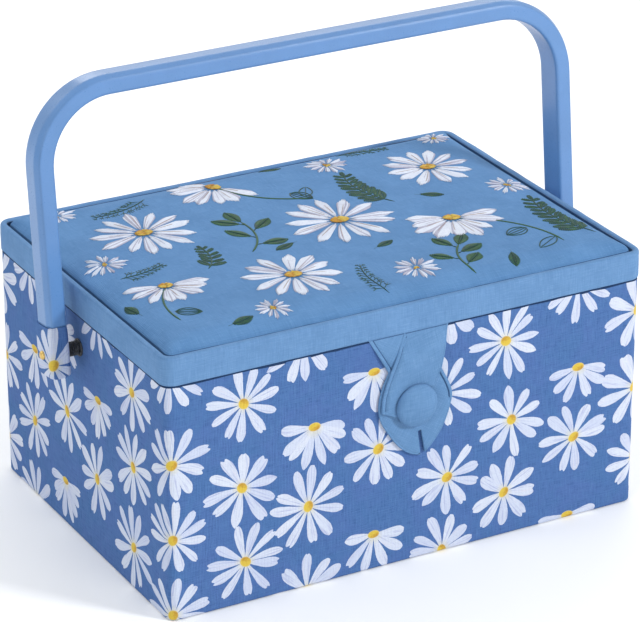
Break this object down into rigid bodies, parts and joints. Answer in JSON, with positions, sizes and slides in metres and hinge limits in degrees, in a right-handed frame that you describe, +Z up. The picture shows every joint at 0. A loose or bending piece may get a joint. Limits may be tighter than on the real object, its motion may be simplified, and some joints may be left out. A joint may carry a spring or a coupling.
{
  "type": "sewing box",
  "caption": "Fabric-covered rectangular sewing box with padded embroidered lid, button-and-loop closure, swinging bail handle, hinged back and divided lift-out tray.",
  "frame": {"origin": "centre of the box's underside, on the surface it stands on", "axes": "+X along the width from the left handle pivot to the right one, +Y from the closure at the front to the hinge at the back, +Z up"},
  "size_m": [0.301, 0.1957, 0.2377],
  "materials": {
    "daisy_print": "woven cotton printed with white daisies",
    "plain_blue": "fine plain weave",
    "embroidered_blue": "fine plain weave with raised satin-stitch flowers",
    "lining_blue": "plain cotton lining",
    "board": "unfinished grey board",
    "foam": "open-cell foam",
    "handle_plastic": "gloss moulded",
    "tray_plastic": "semi-gloss moulded",
    "elastic": "ribbed elastic",
    "brass": "satin",
    "steel": "brushed",
    "black_nylon": "moulded"
  },
  "bodies": {
    "box": {"base_cover": "daisy_print", "base_board": "board", "front_wall_board": "board", "back_wall_board": "board", "left_wall_board": "board", "right_wall_board": "board", "body_cover": "daisy_print", "wall_lining": "lining_blue", "base_lining": "lining_blue", "tray_ledge_left": "lining_blue", "tray_ledge_right": "lining_blue", "tray": "tray_plastic", "tray_divider_long_front": "tray_plastic", "tray_divider_long_back": "tray_plastic", "tray_divider_back_left": "tray_plastic", "tray_divider_back_middle": "tray_plastic", "tray_divider_back_right": "tray_plastic", "tray_divider_middle": "tray_plastic", "tray_divider_front": "tray_plastic", "button_head": "plain_blue", "button_shank": "steel", "button_backing": "steel", "pivot_plates": "steel", "plate_rivets": "brass", "pivot_bushes": "black_nylon"},
    "handle": {"handle_bail": "handle_plastic", "foot_tongue_left": "steel", "foot_tongue_right": "steel", "foot_sleeve_left": "daisy_print", "foot_sleeve_right": "daisy_print", "sleeve_studs": "brass", "pivot_pins": "steel", "pivot_spacers": "black_nylon", "retaining_washers": "steel"},
    "lid": {"lid_rim_cover": "plain_blue", "lid_left_rim_board": "board", "lid_right_rim_board": "board", "lid_front_rim_board": "board", "lid_back_rim_board": "board", "lid_board": "board", "lid_padding": "foam", "lid_top_panel": "embroidered_blue", "lid_lining": "lining_blue", "pin_cushion": "plain_blue", "lid_pocket": "lining_blue", "pocket_elastic": "elastic", "hinge_tape": "plain_blue"},
    "closure": {"closure_strap_under": "plain_blue", "closure_strap_over": "plain_blue"}
  },
  "joints": [
    {"name": "lid_open", "type": "hinge", "parent": "box", "child": "lid", "pos_m": [0, 0.0935, 0.12265], "axis": [-1, 0, 0], "range_deg": [0, 100], "deforming": ["hinge_tape"]},
    {"name": "handle_swing", "type": "hinge", "parent": "box", "child": "handle", "pos_m": [0, 0, 0.1054], "axis": [-1, 0, 0], "range_deg": [0, 100]},
    {"name": "closure_lift", "type": "hinge", "parent": "lid", "child": "closure", "pos_m": [0, -0.0947, 0.1226], "axis": [-1, 0, 0], "range_deg": [0, 120], "deforming": ["closure_strap_under", "closure_strap_over"]}
  ],
  "couplings": [
    {"joint": "handle_swing", "follows": "lid_open", "ratio": 1}
  ]
}
